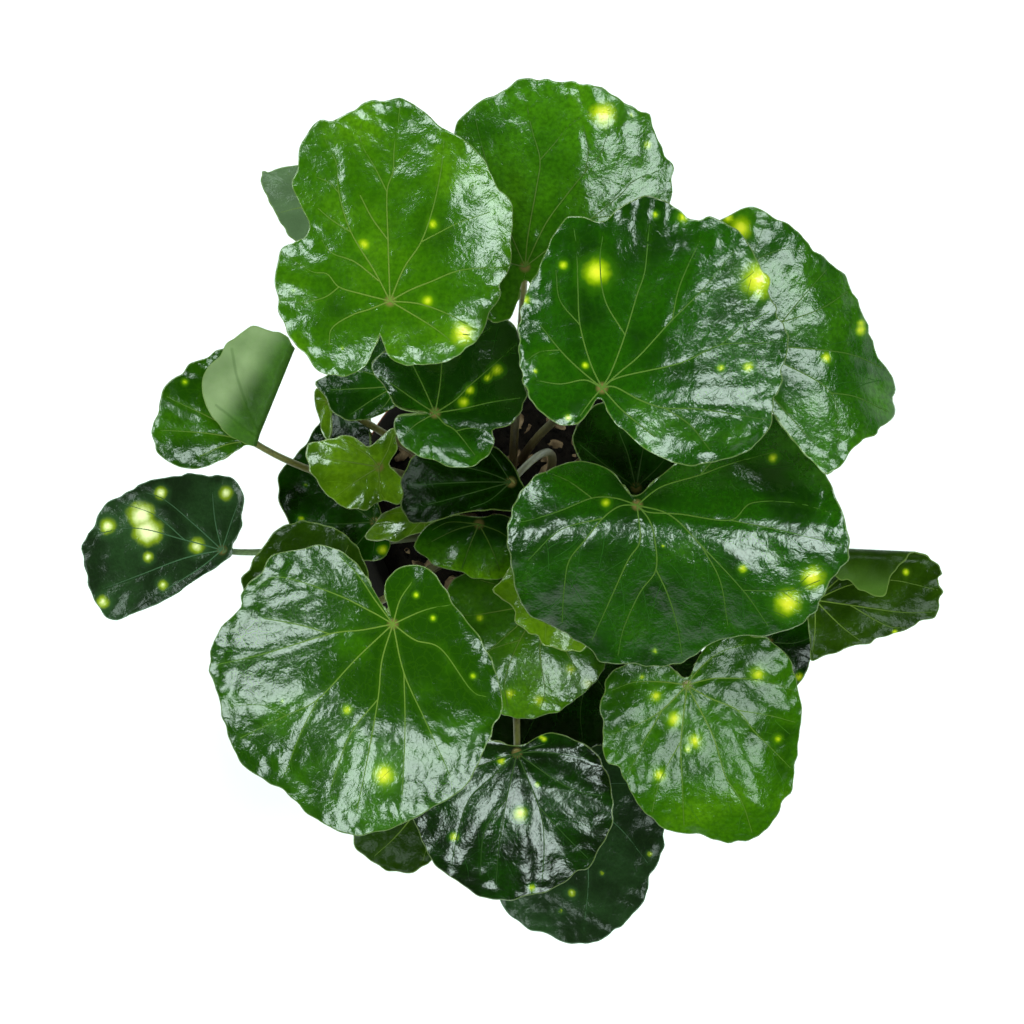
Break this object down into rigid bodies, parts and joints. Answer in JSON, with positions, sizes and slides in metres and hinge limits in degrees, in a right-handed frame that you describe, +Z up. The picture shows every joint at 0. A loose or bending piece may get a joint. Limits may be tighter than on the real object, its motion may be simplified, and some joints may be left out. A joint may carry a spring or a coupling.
{
  "type": "potted leopard plant",
  "caption": "Leafy potted plant with broad round glossy dark green leaves marked with yellow spots, each on its own stalk, standing in soil in a plain tapered terracotta pot.",
  "frame": {"origin": "middle of the pot's underside, on the pot's axis", "axes": "+Z up along the pot's axis, +X to the right and +Y to the top as the plant is seen from straight above in the picture"},
  "size_m": [0.418, 0.4047, 0.3847],
  "materials": {
    "terracotta": "matte",
    "soil": "matte",
    "leaf_dark": "gloss",
    "leaf_mid": "gloss",
    "leaf_fresh": "gloss",
    "leaf_olive": "gloss",
    "leaf_pale": "satin",
    "leaf_blue_green": "gloss",
    "leaf_grey_green": "satin",
    "stalk_brown": "satin",
    "stalk_green": "satin"
  },
  "bodies": {
    "root": {"pot": "terracotta", "soil": "soil", "blade_north_west": "leaf_fresh", "stalk_north_west": "stalk_brown", "blade_north": "leaf_mid", "stalk_north": "stalk_brown", "blade_top": "leaf_mid", "stalk_top": "stalk_brown", "blade_north_east": "leaf_mid", "stalk_north_east": "stalk_brown", "blade_middle_east": "leaf_mid", "stalk_middle_east": "stalk_brown", "blade_south_west": "leaf_fresh", "stalk_south_west": "stalk_brown", "blade_south_west_behind": "leaf_olive", "stalk_south_west_behind": "stalk_brown", "blade_south": "leaf_dark", "stalk_south": "stalk_brown", "blade_south_east": "leaf_fresh", "stalk_south_east": "stalk_brown", "blade_south_low": "leaf_blue_green", "stalk_south_low": "stalk_green", "blade_south_west_low": "leaf_olive", "stalk_south_west_low": "stalk_brown", "blade_west_rolled": "leaf_fresh", "stalk_west_rolled": "stalk_brown", "blade_west_low": "leaf_blue_green", "stalk_west_low": "stalk_green", "blade_inner_west": "leaf_pale", "stalk_inner_west": "stalk_brown", "blade_inner_crinkled": "leaf_pale", "stalk_inner_crinkled": "stalk_brown", "blade_inner_north": "leaf_mid", "stalk_inner_north": "stalk_brown", "blade_inner_middle": "leaf_dark", "stalk_inner_middle": "stalk_brown", "blade_inner_south": "leaf_mid", "stalk_inner_south": "stalk_brown", "blade_lower_middle": "leaf_fresh", "stalk_lower_middle": "stalk_brown", "blade_crinkled_middle": "leaf_pale", "stalk_crinkled_middle": "stalk_brown", "blade_east_rolled": "leaf_olive", "stalk_east_rolled": "stalk_brown", "blade_north_west_behind": "leaf_grey_green", "stalk_north_west_behind": "stalk_green", "blade_west_dark": "leaf_dark", "stalk_west_dark": "stalk_brown", "blade_inner_north_west": "leaf_mid", "stalk_inner_north_west": "stalk_brown", "blade_young_curl": "leaf_pale", "stalk_young_curl": "stalk_brown", "blade_middle_dark": "leaf_dark", "stalk_middle_dark": "stalk_brown", "blade_east_dark": "leaf_dark", "stalk_east_dark": "stalk_brown", "blade_south_dark": "leaf_dark", "stalk_south_dark": "stalk_brown"}
  },
  "joints": []
}
